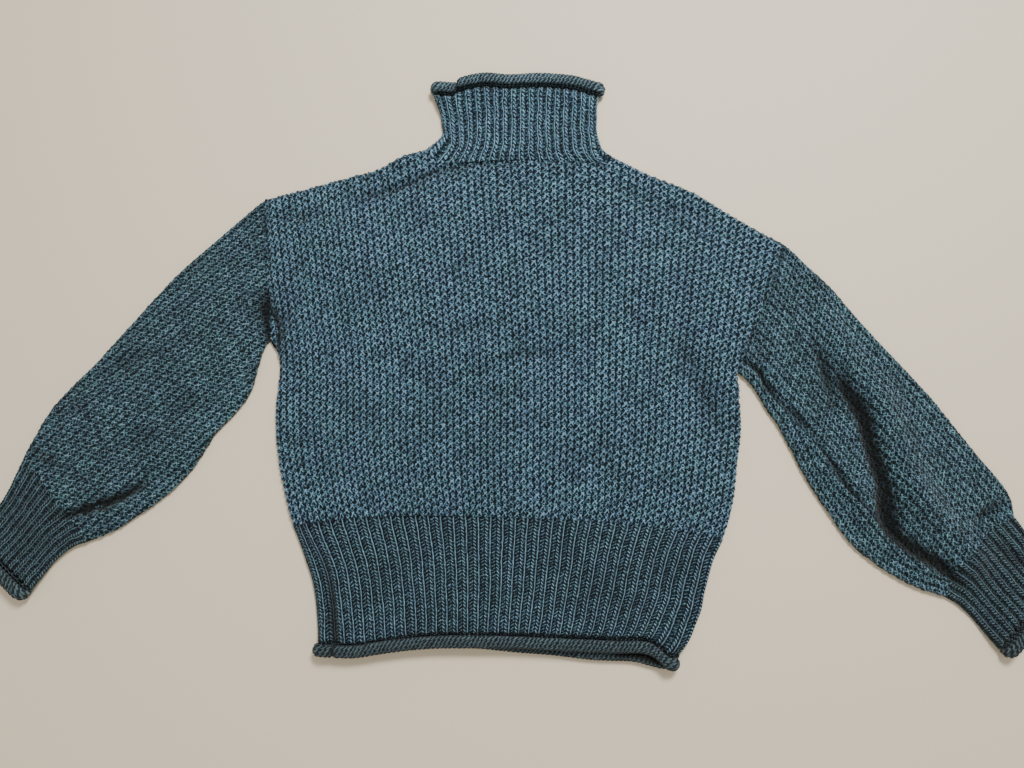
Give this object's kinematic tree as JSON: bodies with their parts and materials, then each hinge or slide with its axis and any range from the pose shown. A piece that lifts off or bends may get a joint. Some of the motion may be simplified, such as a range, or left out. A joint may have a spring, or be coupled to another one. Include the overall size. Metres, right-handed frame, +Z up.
{
  "type": "knitted sweater",
  "caption": "Chunky knitted sweater with a stand collar, full sleeves, ribbed cuffs and hem and curled edges, laid flat with its front up.",
  "frame": {"origin": "middle of the footprint, on the surface that the sweater rests on", "axes": "+X towards the wearer's left sleeve, +Y from the hem to the collar, +Z up, out of the sweater's front"},
  "size_m": [1.2196, 0.6944, 0.0288],
  "materials": {
    "moss_knit": "grey-blue wool in moss stitch, dull, slightly hairy",
    "rib_knit": "the same wool in knit one, purl one ribbing",
    "roll_knit": "the same wool in plain knit, curled up at the edges"
  },
  "bodies": {
    "root": {"front_body": "moss_knit", "back_body": "moss_knit", "sleeve_left": "moss_knit", "sleeve_right": "moss_knit", "front_hem_rib": "rib_knit", "back_hem_rib": "rib_knit", "cuff_left": "rib_knit", "cuff_right": "rib_knit", "collar": "rib_knit", "front_hem_roll": "roll_knit", "back_hem_roll": "roll_knit", "cuff_roll_left": "roll_knit", "cuff_roll_right": "roll_knit", "collar_roll": "roll_knit"}
  },
  "joints": []
}
